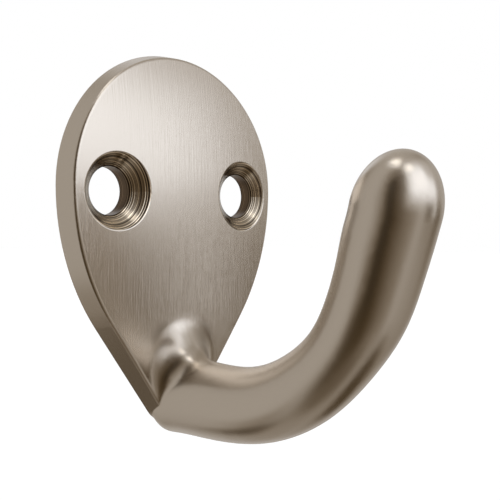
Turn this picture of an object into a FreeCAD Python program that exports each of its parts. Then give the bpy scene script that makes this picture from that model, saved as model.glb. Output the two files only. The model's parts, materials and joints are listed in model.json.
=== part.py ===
"""Robe hook, one die-cast piece: a domed egg-shaped wall plate that carries one upturned prong.

Millimetres and degrees, +Z up. The origin is on the flat back of the plate, midway between the
two screw holes. The back lies in the plane Y = 0 against the wall and the prong reaches to -Y.
X = 0 is the mirror plane.
"""
import FreeCAD, Part
import math
import os
import Sketcher
from FreeCAD import Vector

NODE = "robe_hook"

SIZES = (
    ("plate_width", 31.4, "widest part of the back of the plate"),
    ("plate_widest_height", 0.5, "height of the widest line above the screw holes"),
    ("plate_flank_radius", 26.7, "long curve below the widest line"),
    ("plate_toe_radius", 3.6, "rounding of the narrow lower end"),
    ("plate_toe_drop", 27.2, "lower end of the plate below the screw holes"),
    ("plate_draft_angle", 13.0, "lean of the side wall"),
    ("plate_crown", 3.4, "thickness at the top of the dome"),
    ("dome_drop", 0.5, "top of the dome below the screw holes"),
    ("dome_side_radius", 150.0, "curve of the dome from side to side"),
    ("dome_upper_radius", 88.0, "curve of the dome towards the upper end"),
    ("dome_lower_radius", 310.0, "curve of the dome towards the lower end"),
    ("edge_rounding", 0.4, "small rounding along the front edge of the plate"),
    ("hole_margin", 5.8, "from the side of the plate to the centre of a screw hole"),
    ("hole_diameter", 5.4, "through hole"),
    ("hole_land", 1.6, "straight part of the hole, from the back"),
    ("countersink_angle", 96.0, "full angle of the countersink"),
    ("lip_rounding", 0.3, "rounded lip of the countersink"),
    ("prong_drop", 23.6, "axis of the prong at its root, below the screw holes"),
    ("prong_run", 10.4, "level length of the prong's axis, from the back"),
    ("prong_bend_radius", 20.8, "bend of the prong's axis"),
    ("prong_rise_angle", 73.5, "slope of the prong above the bend"),
    ("prong_end_run", 6.8, "straight length above the bend, up to the rounded tip"),
    ("prong_root_height", 9.3, "section at the root, from bottom to top"),
    ("prong_root_width", 6.2, "section at the root, from side to side"),
    ("prong_heel_drop", 0.35, "lower end of the section at the back, below the toe"),
    ("prong_waist_diameter", 7.6, "round section at the waist"),
    ("prong_tip_diameter", 8.8, "round section where the tip starts"),
    ("prong_tip_length", 5.8, "length of the rounded tip"),
    ("root_sweep", 5.0, "flare above the root, where the prong leaves the face"),
    ("root_crease", 0.25, "tight corner beside the root"),
)


def make_sheet(doc):
    """Write the sizes, one in each row, with their aliases."""
    sheet = doc.addObject("Spreadsheet::Sheet", "Sizes")
    for row, (alias, value, note) in enumerate(SIZES, start=1):
        sheet.set("A%d" % row, alias)
        sheet.set("B%d" % row, str(value))
        sheet.setAlias("B%d" % row, alias)
        sheet.set("C%d" % row, note)
    doc.recompute()
    return sheet


def sketch_on(body, role, name):
    """A sketch attached to an origin plane of its body."""
    plane = next(f for f in body.Origin.OriginFeatures if f.Role == role)
    sketch = body.newObject("Sketcher::SketchObject", name)
    sketch.AttachmentSupport = [(plane, "")]
    sketch.MapMode = "FlatFace"
    return sketch


def dimension(sketch, expression, *constraint):
    """Add a dimension to a sketch and bind it to the sheet."""
    index = sketch.addConstraint(Sketcher.Constraint(*constraint))
    sketch.setExpression("Constraints[%d]" % index, expression)


def arc(x, y, radius, start, end):
    """An arc of a circle, counterclockwise, with its angles in radians."""
    return Part.ArcOfCircle(Part.Circle(Vector(x, y, 0), Vector(0, 0, 1), radius), start, end)


def egg_outline(body, sheet):
    """Outline of the back: half circle, two flanks, two straight tapers and a rounded toe."""
    sketch = sketch_on(body, "XZ_Plane", "egg_outline")
    half, top = sheet.plate_width / 2, sheet.plate_widest_height
    flank, toe = sheet.plate_flank_radius, sheet.plate_toe_radius
    toe_y = toe - sheet.plate_toe_drop
    lean = math.radians(35)
    low_x, low_y = half - flank + flank * math.cos(lean), top - flank * math.sin(lean)
    end_x, end_y = toe * math.cos(lean), toe_y - toe * math.sin(lean)
    crown = sketch.addGeometry(arc(0, top, half, 0, math.pi))
    right = sketch.addGeometry(arc(half - flank, top, flank, -lean, 0))
    left = sketch.addGeometry(arc(flank - half, top, flank, math.pi, math.pi + lean))
    taper_r = sketch.addGeometry(Part.LineSegment(Vector(low_x, low_y, 0), Vector(end_x, end_y, 0)))
    taper_l = sketch.addGeometry(Part.LineSegment(Vector(-low_x, low_y, 0), Vector(-end_x, end_y, 0)))
    bottom = sketch.addGeometry(arc(0, toe_y, toe, math.pi + lean, 2 * math.pi - lean))
    for joint in ((crown, 1, right, 2), (crown, 2, left, 1), (right, 1, taper_r, 1),
                  (left, 2, taper_l, 1), (taper_r, 2, bottom, 2), (taper_l, 2, bottom, 1)):
        sketch.addConstraint(Sketcher.Constraint("Tangent", *joint))
    sketch.addConstraint(Sketcher.Constraint("PointOnObject", crown, 3, -2))
    sketch.addConstraint(Sketcher.Constraint("PointOnObject", bottom, 3, -2))
    sketch.addConstraint(Sketcher.Constraint("Horizontal", crown, 1, crown, 3))
    sketch.addConstraint(Sketcher.Constraint("Horizontal", crown, 2, crown, 3))
    sketch.addConstraint(Sketcher.Constraint("Equal", right, left))
    dimension(sketch, "Sizes.plate_width / 2", "Radius", crown, half)
    dimension(sketch, "Sizes.plate_flank_radius", "Radius", right, flank)
    dimension(sketch, "Sizes.plate_toe_radius", "Radius", bottom, toe)
    dimension(sketch, "Sizes.plate_widest_height", "DistanceY", -1, 1, crown, 3, top)
    dimension(sketch, "Sizes.plate_toe_drop - Sizes.plate_toe_radius",
              "DistanceY", bottom, 3, -1, 1, -toe_y)
    return sketch


def dome_profile(body, sheet):
    """Side view of what the dome takes off: two curves that meet at the top of the dome."""
    sketch = sketch_on(body, "YZ_Plane", "dome_profile")
    x, y = -sheet.plate_crown, -sheet.dome_drop
    upper, lower = sheet.dome_upper_radius, sheet.dome_lower_radius
    high, deep, front = sheet.plate_width, -sheet.plate_toe_drop - sheet.plate_width / 4, 3 * x
    up = math.asin((high - y) / upper)
    down = math.asin((y - deep) / lower)
    top_arc = sketch.addGeometry(arc(x + upper, y, upper, math.pi - up, math.pi))
    low_arc = sketch.addGeometry(arc(x + lower, y, lower, math.pi, math.pi + down))
    corner = (Vector(x + upper - upper * math.cos(up), high, 0), Vector(front, high, 0),
              Vector(front, deep, 0), Vector(x + lower - lower * math.cos(down), deep, 0))
    lines = [sketch.addGeometry(Part.LineSegment(a, b)) for a, b in zip(corner, corner[1:])]
    axis = sketch.addGeometry(
        Part.LineSegment(Vector(x + sheet.dome_side_radius, y, 0),
                         Vector(x + sheet.dome_side_radius, high, 0)), True)
    for a, b in (((top_arc, 2), (low_arc, 1)), ((top_arc, 1), (lines[0], 1)),
                 ((lines[0], 2), (lines[1], 1)), ((lines[1], 2), (lines[2], 1)),
                 ((lines[2], 2), (low_arc, 2))):
        sketch.addConstraint(Sketcher.Constraint("Coincident", *a, *b))
    for centre in ((top_arc, 3), (low_arc, 3), (axis, 1)):
        sketch.addConstraint(Sketcher.Constraint("Horizontal", top_arc, 2, *centre))
    for line in (lines[0], lines[2]):
        sketch.addConstraint(Sketcher.Constraint("Horizontal", line))
    for line in (lines[1], axis):
        sketch.addConstraint(Sketcher.Constraint("Vertical", line))
    sketch.addConstraint(Sketcher.Constraint("Horizontal", axis, 2, lines[0], 1))
    dimension(sketch, "Sizes.plate_crown", "DistanceX", top_arc, 2, -1, 1, -x)
    dimension(sketch, "Sizes.dome_drop", "DistanceY", top_arc, 2, -1, 1, -y)
    dimension(sketch, "Sizes.dome_upper_radius", "Radius", top_arc, upper)
    dimension(sketch, "Sizes.dome_lower_radius", "Radius", low_arc, lower)
    dimension(sketch, "Sizes.dome_side_radius", "DistanceX", top_arc, 2, axis, 1,
              sheet.dome_side_radius)
    dimension(sketch, "Sizes.plate_width", "DistanceY", -1, 1, lines[0], 1, high)
    dimension(sketch, "Sizes.plate_toe_drop + Sizes.plate_width / 4",
              "DistanceY", lines[2], 1, -1, 1, -deep)
    dimension(sketch, "3 * Sizes.plate_crown", "DistanceX", lines[1], 1, -1, 1, -front)
    return sketch


def foremost_face(shape):
    """Name of the face that lies furthest forward."""
    return "Face%d" % min((f.CenterOfMass.y, i) for i, f in enumerate(shape.Faces, start=1))[1]


def make_plate(doc, sheet):
    """The wall plate: drafted egg outline, domed front, small rounding along the front edge."""
    body = doc.addObject("PartDesign::Body", "plate")
    blank = body.newObject("PartDesign::Pad", "plate_blank")
    blank.Profile = egg_outline(body, sheet)
    blank.setExpression("Length", "Sizes.plate_crown")
    blank.setExpression("TaperAngle", "-Sizes.plate_draft_angle")
    profile = dome_profile(body, sheet)
    doc.recompute()
    dome = body.newObject("PartDesign::Groove", "dome")
    dome.Profile = profile
    dome.ReferenceAxis = (profile, ["Axis0"])
    dome.Midplane = True
    dome.Angle = 60
    doc.recompute()
    if dome.Shape.Volume > 0.95 * blank.Shape.Volume:
        raise RuntimeError("the dome takes nothing off the plate")
    edge = body.newObject("PartDesign::Fillet", "front_edge")
    edge.Base = (dome, [foremost_face(dome.Shape)])
    edge.setExpression("Radius", "Sizes.edge_rounding")
    doc.recompute()
    return body


# Sections of the prong. The first three shares say how far each one stands along the level run,
# the bend and the end run; the last two how far its form has gone from root to waist and from
# waist to tip.
SECTIONS = (
    ("root", 0.12, 0, 0, 0, 0),
    ("run", 1 / 2, 0, 0, 0.21, 0),
    ("bend_start", 1, 0, 0, 0.42, 0),
    ("bend_early", 1, 1 / 4, 0, 0.66, 0),
    ("bend_middle", 1, 1 / 2, 0, 0.87, 0),
    ("waist", 1, 2 / 3, 0, 1, 0),
    ("bend_late", 1, 5 / 6, 0, 1, 0.42),
    ("bend_end", 1, 1, 0, 1, 0.72),
    ("end_early", 1, 1, 1 / 3, 1, 0.87),
    ("end_late", 1, 1, 2 / 3, 1, 0.97),
    ("tip", 1, 1, 1, 1, 1),
)


def prong_placement(run, bend, end):
    """Expression for a place on the prong's axis, with its own Z axis along the prong."""
    slope = "%.6f * Sizes.prong_rise_angle" % bend
    turn = "(%s) * 1 deg" % slope
    reach = ("%.6f * Sizes.prong_run + Sizes.prong_bend_radius * sin(%s)"
             " + %.6f * Sizes.prong_end_run * cos(%s)" % (run, turn, end, turn))
    height = ("Sizes.prong_bend_radius * (1 - cos(%s)) - Sizes.prong_drop"
              " + %.6f * Sizes.prong_end_run * sin(%s)" % (turn, end, turn))
    return "placement(vector(0; -(%s); %s); rotation(90; %s - 90; 0))" % (reach, height, slope)


def prong_half(root, waist, tip):
    """Expression for half the height or width of a section."""
    return ("(Sizes.%s + %.6f * (Sizes.prong_waist_diameter - Sizes.%s)"
            " + %.6f * (Sizes.prong_tip_diameter - Sizes.prong_waist_diameter)) / 2"
            % (root, waist, root, tip))


def make_oval(doc, name, half_height, half_width, placement):
    """One section of the prong; its sizes and place are expressions."""
    oval = doc.addObject("Part::Ellipse", "section_" + name)
    oval.MajorRadius, oval.MinorRadius = 2, 1
    oval.setExpression("MajorRadius", half_height)
    oval.setExpression("MinorRadius", half_width)
    oval.setExpression("Placement", placement)
    return oval


def make_prong(doc):
    """The prong: upright ovals that turn round, lofted along the bent axis, and a rounded tip.

    The first oval, at the back, is as high as the root at its top and ends just below the toe.
    """
    top = "(Sizes.prong_root_height / 2 - Sizes.prong_drop)"
    bottom = "(-Sizes.plate_toe_drop - Sizes.prong_heel_drop)"
    middle = "placement(vector(0; 0; (%s + %s) / 2); rotation(90; -90; 0))" % (top, bottom)
    sections = [make_oval(doc, "heel", "(%s - %s) / 2" % (top, bottom), "Sizes.prong_root_width / 2",
                          middle)]
    for name, run, bend, end, waist, tip in SECTIONS:
        sections.append(make_oval(doc, name, prong_half("prong_root_height", waist, tip),
                                  prong_half("prong_root_width", waist, tip),
                                  prong_placement(run, bend, end)))
    shank = doc.addObject("Part::Loft", "prong_shank")
    shank.Sections = sections
    shank.Solid = True
    shank.Ruled = False
    shank.MaxDegree = 3
    cap = doc.addObject("Part::Ellipsoid", "prong_tip")
    cap.Angle1, cap.Angle2 = 0, 90
    cap.setExpression("Radius1", "Sizes.prong_tip_length")
    cap.setExpression("Radius2", "Sizes.prong_tip_diameter / 2")
    cap.setExpression("Radius3", "Sizes.prong_tip_diameter / 2")
    cap.setExpression("Placement", prong_placement(1, 1, 1))
    return [shank, cap]


def make_hole_tools(doc):
    """For each screw hole a pin of the hole's size and a cone that starts above the land."""
    tools = []
    half_spacing = "(Sizes.plate_width / 2 - Sizes.hole_margin)"
    for side, across in (("left", "-" + half_spacing), ("right", half_spacing)):
        pin = doc.addObject("Part::Cylinder", "hole_" + side)
        pin.setExpression("Radius", "Sizes.hole_diameter / 2")
        pin.setExpression("Height", "2 * Sizes.plate_crown")
        cone = doc.addObject("Part::Cone", "countersink_" + side)
        cone.setExpression("Radius1", "Sizes.hole_diameter / 2")
        cone.setExpression("Radius2", "Sizes.hole_diameter / 2"
                           " + Sizes.plate_crown * tan(Sizes.countersink_angle * 1 deg / 2)")
        cone.setExpression("Height", "Sizes.plate_crown")
        for tool, start in ((pin, "Sizes.plate_crown / 2"), (cone, "-Sizes.hole_land")):
            tool.setExpression("Placement", "placement(vector(%s; %s; 0);"
                               " rotation(vector(1; 0; 0); 90))" % (across, start))
            tools.append(tool)
    return tools


def countersink_lips(shape, sheet):
    """Edges where the countersinks meet the domed face, the longest one of each."""
    half_spacing = sheet.plate_width / 2 - sheet.hole_margin
    lips = []
    for face in shape.Faces:
        cone = face.Surface
        if not isinstance(cone, Part.Cone) or abs(cone.Axis.y) < 0.999:
            continue
        if abs(abs(cone.Center.x) - half_spacing) > 0.01 or abs(cone.Center.z) > 0.01:
            continue
        rim = [e for e in face.Edges if e.BoundBox.YMax < -sheet.hole_land - 0.01]
        longest = max(rim, key=lambda e: e.Length)
        lips.append(next(i for i, e in enumerate(shape.Edges, start=1) if e.isSame(longest)))
    return lips


def root_edges(shape, sheet):
    """Edges that run down from the top of the prong's root, and whether each starts there."""
    height = sheet.prong_root_height / 2 - sheet.prong_drop
    found = []
    for number, edge in enumerate(shape.Edges, start=1):
        ends = [edge.Vertexes[0].Point, edge.Vertexes[-1].Point]
        tops = [abs(p.x) < 0.01 and abs(p.z - height) < 0.5 and p.y > -sheet.plate_crown
                for p in ends]
        if tops[0] != tops[1] and abs(ends[1].x - ends[0].x) > 1:
            found.append((number, tops[0]))
    return found


def make_casting(doc, sheet):
    """The whole casting: plate and prong joined, drilled, with its lips and its root rounded."""
    joined = doc.addObject("Part::MultiFuse", "plate_and_prong")
    joined.Shapes = [make_plate(doc, sheet)] + make_prong(doc)
    joined.Refine = True
    tools = doc.addObject("Part::MultiFuse", "hole_tools")
    tools.Shapes = make_hole_tools(doc)
    drilled = doc.addObject("Part::Cut", "drilled")
    drilled.Base = joined
    drilled.Tool = tools
    doc.recompute()
    casting = doc.addObject("Part::Fillet", "casting")
    casting.Base = drilled
    lip = sheet.lip_rounding
    edges = [(number, lip, lip) for number in countersink_lips(drilled.Shape, sheet)]
    for number, top_first in root_edges(drilled.Shape, sheet):
        radii = (sheet.root_sweep, sheet.root_crease)
        edges.append((number,) + (radii if top_first else radii[::-1]))
    casting.Edges = edges
    casting.Label = NODE
    doc.recompute()
    return casting


def check(doc, parts):
    """Stop if an object failed or a part isn't one valid solid."""
    for thing in doc.Objects:
        if {"Invalid", "Error"} & set(thing.State):
            raise RuntimeError("%s: %s" % (thing.Label, thing.State))
    for part in parts:
        if part.Shape.isNull() or not part.Shape.isValid() or len(part.Shape.Solids) != 1:
            raise RuntimeError("%s is not one valid solid" % part.Label)


def main():
    doc = FreeCAD.newDocument("robe_hook")
    sheet = make_sheet(doc)
    parts = [make_casting(doc, sheet)]
    check(doc, parts)
    os.makedirs("parts", exist_ok=True)
    for part in parts:
        part.Shape.exportStep("parts/%s.step" % part.Label)
        box = part.Shape.optimalBoundingBox()
        print("%s: %.1f x %.1f x %.1f mm, %.2f cm3" % (part.Label, box.XLength, box.YLength,
                                                      box.ZLength, part.Shape.Volume / 1000))


main()
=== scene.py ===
"""Robe hook in satin nickel, seen from the left front as in the photograph."""
import json
import math

import bpy
from mathutils import Matrix, Vector

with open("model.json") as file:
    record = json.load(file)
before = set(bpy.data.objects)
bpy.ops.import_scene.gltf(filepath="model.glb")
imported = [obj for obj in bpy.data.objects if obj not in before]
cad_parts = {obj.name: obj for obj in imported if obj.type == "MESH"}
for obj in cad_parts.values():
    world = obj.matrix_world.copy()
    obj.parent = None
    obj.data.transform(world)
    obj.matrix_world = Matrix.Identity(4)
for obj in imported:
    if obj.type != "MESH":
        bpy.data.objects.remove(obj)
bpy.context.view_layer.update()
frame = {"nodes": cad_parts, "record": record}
hook = frame["nodes"]["robe_hook"]


def mm(*values):
    """Millimetres as a vector in metres."""
    return Vector(values) / 1000


# Camera: where it looks, from how far (m), its angles (degrees), its lens and picture width (mm).
AIM = mm(14.38, 0, -6.9)
DISTANCE = 0.112
AZIMUTH, ELEVATION, ROLL = 46.59, -1.56, -0.46
LENS, SENSOR_WIDTH = 61.09, 36
NEAREST_SEEN = 0.005

# Studio: sizes in metres, and the strength of its lights. What is set brighter than BRIGHTEST on
# the tent shows as BRIGHTEST.
FLOOR_DROP = 0.65
FLOOR_SIZE = 40
FLOOR_GREY = 0.9
FLOOR_GLOW = 0.3
WORLD_STRENGTH = 0.8
TENT_RADIUS = 0.5
TENT_MIDDLE = mm(0, -10, -5)
TENT_STRENGTH = 1.22
TENT_RINGS, TENT_STEPS = 24, 48
BRIGHTEST = 2.0

# Colours of the metals, and of the shade and sheen painted onto them.
NICKEL = (0.6, 0.535, 0.455)
# Painted shade: nickel darkened in the recess beside the prong's root.
RECESS_PAINTED_SHADE = (0.33, 0.275, 0.215)
# The cutter's rings in the countersinks are real marks; their dark grooves are painted shade and their
# bright ridges painted sheen.
GROOVE_PAINTED_SHADE = (0.045, 0.031, 0.018)
RIDGE_PAINTED_SHEEN = (0.88, 0.75, 0.58)
# Painted shade inside the straight bores, in grooves and ridges along their depth.
BORE_GROOVE_PAINTED_SHADE = (0.04, 0.026, 0.015)
BORE_PAINTED_SHADE = (0.26, 0.185, 0.12)

# Marks of the finish to a millimetre, along X, Y and Z or along one line, how uneven they are, and
# the heights up to which a cut is all groove and from which it is all ridge.
GRAIN = (5, 5, 5)
BRUSH_LINES = (8, 0, 0.12)
CUTTER_LINES = 6
UNEVENNESS = 0.6
GROOVE_END, RIDGE_START = 0.4, 0.66

# Places on the hook, in metres.
HOLE_SPACING = frame["record"]["mounts"][0]["dims"]["spacing_x_mm"] / 1000
COUNTERSINK_RADIUS = 0.0046
FACE_FRONT = -0.0042                     # the plate's face lies behind this, the prong before it
RECESS = (0.003, -0.0043, -0.0171)       # painted shade beside the prong's root
RECESS_REACH = (0.0023, 0.0036, 0.0027)
RECESS_CORE = 0.25                       # share of the reach that is darkest all over

# Y of a surface's normal, which is -1 where it faces the front.
BORE_TURN = 0.3
COUNTERSINK_TURN = (-0.97, 0.5)
FACE_TURN = -0.96


def make_camera():
    """A close camera at the left front, about as high as the screw holes."""
    azimuth, elevation = math.radians(AZIMUTH), math.radians(ELEVATION)
    look = Vector((math.sin(azimuth) * math.cos(elevation), math.cos(azimuth) * math.cos(elevation),
                   math.sin(elevation)))
    right = Vector((math.cos(azimuth), -math.sin(azimuth), 0))
    up = right.cross(look)
    turn = Matrix((right, up, -look)).transposed().to_4x4()
    camera = bpy.data.objects.new("camera", bpy.data.cameras.new("camera"))
    camera.data.lens = LENS
    camera.data.sensor_width = SENSOR_WIDTH
    camera.data.clip_start = NEAREST_SEEN
    camera.matrix_world = (Matrix.Translation(AIM - DISTANCE * look) @ turn
                           @ Matrix.Rotation(math.radians(-ROLL), 4, "Z"))
    bpy.context.collection.objects.link(camera)
    bpy.context.scene.camera = camera


def new_tree(owner):
    """The empty node tree of a material or world."""
    owner.use_nodes = True
    owner.node_tree.nodes.clear()
    return owner.node_tree


def node(tree, kind, inputs=None, **settings):
    """Add a shader node with its settings; inputs are values or sockets to link, by socket name."""
    made = tree.nodes.new(kind)
    for key, value in settings.items():
        setattr(made, key, value)
    for name, value in (inputs or {}).items():
        socket = made.inputs[name]
        if isinstance(value, bpy.types.NodeSocket):
            tree.links.new(value, socket)
        else:
            socket.default_value = value
    return made


def maths(tree, operation, *values):
    """The result of one sum; each value is a number or a socket."""
    return node(tree, "ShaderNodeMath", dict(enumerate(values)), operation=operation).outputs[0]


def ramp(tree, value, *stops):
    """Colour along a list of (place, colour or level) stops; place is 0 to 1."""
    made = node(tree, "ShaderNodeValToRGB", {"Fac": value})
    band = made.color_ramp
    while len(band.elements) < len(stops):
        band.elements.new(0.5)
    for element, (place, colour) in zip(band.elements, stops):
        element.position = place
        element.color = (colour, colour, colour, 1) if isinstance(colour, (int, float)) else (*colour, 1)
    return made.outputs["Color"]


def streaks(tree, place, per_mm, detail):
    """Noise with so many marks to a millimetre along X, Y and Z."""
    stretch = node(tree, "ShaderNodeMapping", {"Vector": place, "Scale": [1000 * n for n in per_mm]})
    return node(tree, "ShaderNodeTexNoise", {"Vector": stretch.outputs[0], "Scale": 1, "Detail": detail,
                                             "Roughness": UNEVENNESS}).outputs["Fac"]


def metal(name, colour, height, roughness, strength, relief, **more):
    """Metal with a fine relief in millimetres; colour and height are functions that give a socket."""
    material = bpy.data.materials.new(name)
    tree = new_tree(material)
    place = node(tree, "ShaderNodeTexCoord").outputs["Object"]
    bump = node(tree, "ShaderNodeBump", {"Strength": strength, "Distance": relief / 1000,
                                         "Height": height(tree, place)})
    shader = node(tree, "ShaderNodeBsdfPrincipled", {"Base Color": colour(tree, place), "Metallic": 1,
                                                     "Roughness": roughness, "Normal": bump.outputs[0],
                                                     **more})
    node(tree, "ShaderNodeOutputMaterial", {"Surface": shader.outputs[0]})
    return material, tree, shader


def away(tree, place, middle, reach):
    """How far a point lies from the nearer of two middles at +X and -X, as a share of the reach."""
    axes = node(tree, "ShaderNodeSeparateXYZ", {0: place}).outputs
    parts = (maths(tree, "ABSOLUTE", axes["X"]), axes["Y"], axes["Z"])
    total = 0.0
    for part, centre, size in zip(parts, middle, reach):
        share = maths(tree, "DIVIDE", maths(tree, "SUBTRACT", part, centre), size)
        total = maths(tree, "ADD", total, maths(tree, "POWER", share, 2.0))
    return maths(tree, "SQRT", total)


def nickel_with_painted_shade(tree, place):
    """Warm nickel, with painted shade in the recess on each side of the prong's root."""
    return ramp(tree, away(tree, place, RECESS, RECESS_REACH), (RECESS_CORE, RECESS_PAINTED_SHADE), (1, NICKEL))


def satin_nickel():
    """The prong and the side wall: an even satin, with painted shade beside the prong's root."""
    def grain(tree, place):
        return streaks(tree, place, GRAIN, 2)
    return metal("satin_nickel", nickel_with_painted_shade, grain, roughness=0.27, strength=0.06, relief=0.02)[0]


def brushed_nickel():
    """The face of the plate, brushed up and down, with painted shade beside the prong's root."""
    def lines(tree, place):
        return streaks(tree, place, BRUSH_LINES, 3)
    material, tree, shader = metal("brushed_nickel", nickel_with_painted_shade, lines, roughness=0.22, strength=0.8,
                                   relief=0.022, Anisotropic=0.15)
    around = node(tree, "ShaderNodeTangent", direction_type="RADIAL", axis="Z")
    tree.links.new(around.outputs[0], shader.inputs["Tangent"])
    return material


def turning(tree, position):
    """Noise along one line given in millimetres, as uneven as the marks of a cutter."""
    return node(tree, "ShaderNodeTexNoise", {"W": position, "Scale": CUTTER_LINES, "Detail": 2,
                                             "Roughness": UNEVENNESS},
                noise_dimensions="1D").outputs["Fac"]


def turned_nickel_and_painted_light():
    """The countersinks, with the cutter's rings: bright ridges of painted sheen between dark grooves of
    painted shade.
    """
    def rings(tree, place):
        # A reach of 1 mm in X and Z gives millimetres from the hole's axis, and 1 m in Y leaves Y out.
        return turning(tree, away(tree, place, (HOLE_SPACING / 2, 0, 0), (0.001, 1, 0.001)))

    def colour(tree, place):
        # Painted light: dark grooves as painted shade, bright ridges as painted sheen.
        return ramp(tree, rings(tree, place), (GROOVE_END, GROOVE_PAINTED_SHADE), (RIDGE_START, RIDGE_PAINTED_SHEEN))
    return metal("turned_nickel_and_painted_light", colour, rings, roughness=0.14, strength=1.0, relief=0.03)[0]


def bore_painted_shade():
    """The straight bores, darkened with painted shade, with rings along their depth."""
    def rings(tree, place):
        depth = node(tree, "ShaderNodeSeparateXYZ", {0: place}).outputs["Y"]
        return turning(tree, maths(tree, "MULTIPLY", depth, 1000.0))

    def colour(tree, place):
        # Painted shade: the bores darkened, with the rings along their depth.
        return ramp(tree, rings(tree, place), (GROOVE_END, BORE_GROOVE_PAINTED_SHADE), (RIDGE_START, BORE_PAINTED_SHADE))
    return metal("bore_painted_shade", colour, rings, roughness=0.35, strength=0.5, relief=0.02)[0]


def dress(hook):
    """Give the face, the countersinks, the bores and the rest their own finish; the countersinks and the
    bores carry painted shade.
    """
    hook.data.materials.clear()
    for material in (satin_nickel(), brushed_nickel(), turned_nickel_and_painted_light(), bore_painted_shade()):
        hook.data.materials.append(material)
    satin, brushed, turned, shaded_bore = range(4)
    for polygon in hook.data.polygons:
        centre, turn = polygon.center, polygon.normal.y
        in_hole = math.hypot(abs(centre.x) - HOLE_SPACING / 2, centre.z) < COUNTERSINK_RADIUS
        if in_hole and abs(turn) < BORE_TURN:
            polygon.material_index = shaded_bore
        elif in_hole and COUNTERSINK_TURN[0] < turn < COUNTERSINK_TURN[1]:
            polygon.material_index = turned
        elif turn < FACE_TURN and centre.y > FACE_FRONT:
            polygon.material_index = brushed
        else:
            polygon.material_index = satin


def seen(tree):
    """1 for what the camera, metal or glass sees, 0 for other rays."""
    path = node(tree, "ShaderNodeLightPath").outputs
    direct = maths(tree, "MAXIMUM", path["Is Camera Ray"], path["Is Glossy Ray"])
    return maths(tree, "MAXIMUM", direct, path["Is Transmission Ray"])


def make_world():
    """White all round where it is seen, a plain light otherwise."""
    world = bpy.data.worlds.new("studio")
    bpy.context.scene.world = world
    tree = new_tree(world)
    strength = maths(tree, "ADD", maths(tree, "MULTIPLY", seen(tree), 1 - WORLD_STRENGTH), WORLD_STRENGTH)
    background = node(tree, "ShaderNodeBackground", {"Color": (1, 1, 1, 1), "Strength": strength})
    node(tree, "ShaderNodeOutputWorld", {"Surface": background.outputs[0]})


def make_floor():
    """A white floor well below the hook. It takes the hook's shadow."""
    half = FLOOR_SIZE / 2
    mesh = bpy.data.meshes.new("floor")
    mesh.from_pydata([(-half, -half, 0), (half, -half, 0), (half, half, 0), (-half, half, 0)], [],
                     [(0, 1, 2, 3)])
    floor = bpy.data.objects.new("floor", mesh)
    floor.location = (0, 0, -FLOOR_DROP)
    bpy.context.collection.objects.link(floor)
    material = bpy.data.materials.new("floor_white")
    tree = new_tree(material)
    glow = maths(tree, "MULTIPLY", seen(tree), FLOOR_GLOW)
    shader = node(tree, "ShaderNodeBsdfPrincipled", {
        "Base Color": (FLOOR_GREY, FLOOR_GREY, FLOOR_GREY, 1), "Roughness": 1,
        "Emission Color": (1, 1, 1, 1), "Emission Strength": glow})
    node(tree, "ShaderNodeOutputMaterial", {"Surface": shader.outputs[0]})
    mesh.materials.append(material)


# The light tent, as the hook sees it. Angles are degrees to the right of the camera and degrees up,
# and 1 is white. First how bright the cloth is all round, then the soft boxes and dark cards in front
# of it: where each is, how far it reaches to either side and up and down, its soft rim, its level.
CLOTH = ((-180, 0.5), (-150, 0.5), (-130, 0.36), (-110, 0.44), (-65, 0.47), (-45, 0.3), (-30, 0.16),
         (0, 0.11), (15, 0.18), (38, 0.28), (52, 0.44), (75, 0.37), (100, 0.33), (125, 0.28),
         (150, 0.45), (180, 0.5))
CARDS = {
    "floor": ((0, -90), (180, 38), 10, 0.32),
    "floor_right": ((105, -64), (40, 12), 8, 0.06),
    "floor_left": ((-106, -55), (18, 8), 5, 0.05),
    "low_left": ((-86, -43), (12, 7), 5, 0.26),
    "dark_low": ((-32, -38), (26, 20), 12, 0.05),
    "dark_under": ((-20, -66), (40, 10), 10, 0.12),
    "dark_tall": ((-23, 8), (12, 36), 9, 0.02),
    "back_gap": ((-134, 22), (10, 16), 10, 0.2),
    "above": ((0, 90), (180, 30), 10, 0.42),
    "main_box": ((52, 30), (33, 25), 17, 1.45),
    "top_box": ((31, 60), (17, 8), 5, 1.95),
    "side_box": ((98, 38), (20, 16), 10, 0.55),
    "face_box": ((84, 13), (13, 11), 8, 1.26),
    "right_fill": ((128, 16), (18, 22), 8, 0.45),
    "face_low": ((92, -10), (28, 9), 5, 0.14),
    "face_strip": ((92, -6), (5, 8), 5, 0.85),
    "back_box": ((-158, 30), (10, 12), 8, 0.8),
    "zenith": ((-60, 80), (50, 8), 5, 2.6),
}


def near(tree, angle, middle, reach, soft):
    """1 where an angle lies within reach of the middle, 0 beyond the soft rim; degrees."""
    off = maths(tree, "ABSOLUTE", maths(tree, "SUBTRACT", angle, math.radians(middle)))
    edge = node(tree, "ShaderNodeMapRange", {
        "Value": off, "From Min": math.radians(reach - soft), "From Max": math.radians(reach + soft),
        "To Min": 1.0, "To Max": 0.0}, interpolation_type="SMOOTHSTEP")
    return edge.outputs[0]


def tone(tree, level):
    """Colour of the cloth: brownish where it is dark, a little cool where it is bright."""
    share = maths(tree, "DIVIDE", level, BRIGHTEST)
    lit = ramp(tree, share, (0, (0.0, 0.0, 0.0)), (0.033, (0.033, 0.021, 0.008)),
               (0.117, (0.117, 0.099, 0.079)), (0.247, (0.247, 0.238, 0.228)),
               (0.455, (0.44, 0.455, 0.49)), (0.7, (0.66, 0.7, 0.78)), (1, (1, 1, 1)))
    return node(tree, "ShaderNodeVectorMath", {0: lit, 1: (BRIGHTEST, BRIGHTEST, BRIGHTEST)},
                operation="MULTIPLY").outputs[0]


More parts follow.
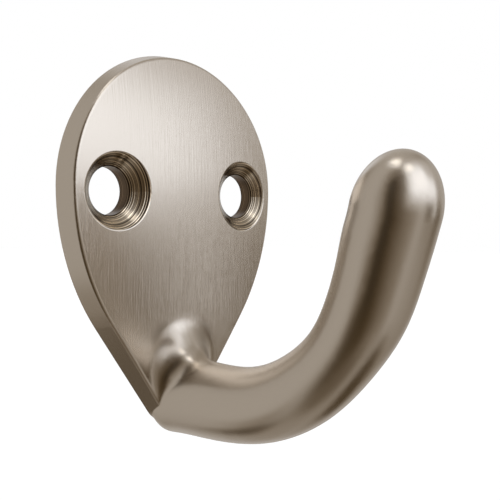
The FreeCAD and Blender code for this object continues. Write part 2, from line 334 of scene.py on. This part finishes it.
def tent_mesh():
    """A ball of rings and steps."""
    points = []
    for i in range(TENT_RINGS + 1):
        down = math.pi * i / TENT_RINGS
        for j in range(TENT_STEPS):
            turn = math.tau * j / TENT_STEPS
            points.append(TENT_RADIUS * Vector((math.sin(down) * math.cos(turn),
                                                math.sin(down) * math.sin(turn), math.cos(down))))
    faces = []
    for ring in range(0, TENT_RINGS * TENT_STEPS, TENT_STEPS):
        for j in range(TENT_STEPS):
            after = (j + 1) % TENT_STEPS
            faces.append((ring + j, ring + after, ring + TENT_STEPS + after, ring + TENT_STEPS + j))
    mesh = bpy.data.meshes.new("light_tent")
    mesh.from_pydata(points, [], faces)
    return mesh


def tent_cloth():
    """The cloth of the tent, with its cards laid over it one after the other."""
    material = bpy.data.materials.new("tent_cloth")
    tree = new_tree(material)
    place = node(tree, "ShaderNodeTexCoord").outputs["Object"]
    flat = node(tree, "ShaderNodeVectorMath", {0: place}, operation="NORMALIZE").outputs[0]
    axes = node(tree, "ShaderNodeSeparateXYZ", {0: flat}).outputs
    around = maths(tree, "ARCTAN2", axes["Y"], axes["X"])
    up = maths(tree, "ARCSINE", axes["Z"])
    share = maths(tree, "ADD", maths(tree, "DIVIDE", around, math.tau), 0.5)
    shown = ramp(tree, share, *[((angle + 180) / 360, level) for angle, level in CLOTH])
    for (side, height), (reach, rise), soft, level in CARDS.values():
        inside = maths(tree, "MULTIPLY", near(tree, around, side, reach, soft),
                       near(tree, up, height, rise, soft))
        kept = maths(tree, "MULTIPLY", shown, maths(tree, "SUBTRACT", 1.0, inside))
        shown = maths(tree, "ADD", kept, maths(tree, "MULTIPLY", inside, level))
    light = node(tree, "ShaderNodeEmission", {"Color": tone(tree, shown), "Strength": TENT_STRENGTH})
    node(tree, "ShaderNodeOutputMaterial", {"Surface": light.outputs[0]})
    return material


def make_tent():
    """The light tent round the hook. Only the metal sees it."""
    tent = bpy.data.objects.new("light_tent", tent_mesh())
    bpy.context.collection.objects.link(tent)
    tent.location = TENT_MIDDLE
    # Its own X points at the camera and its own Y to the camera's right.
    tent.rotation_euler = (0, 0, math.radians(-90 - AZIMUTH))
    for ray in ("camera", "diffuse", "shadow", "transmission"):
        setattr(tent, "visible_" + ray, False)
    tent.data.materials.append(tent_cloth())


bpy.context.scene.view_settings.view_transform = "Standard"
make_camera()
make_world()
make_floor()
make_tent()
dress(hook)
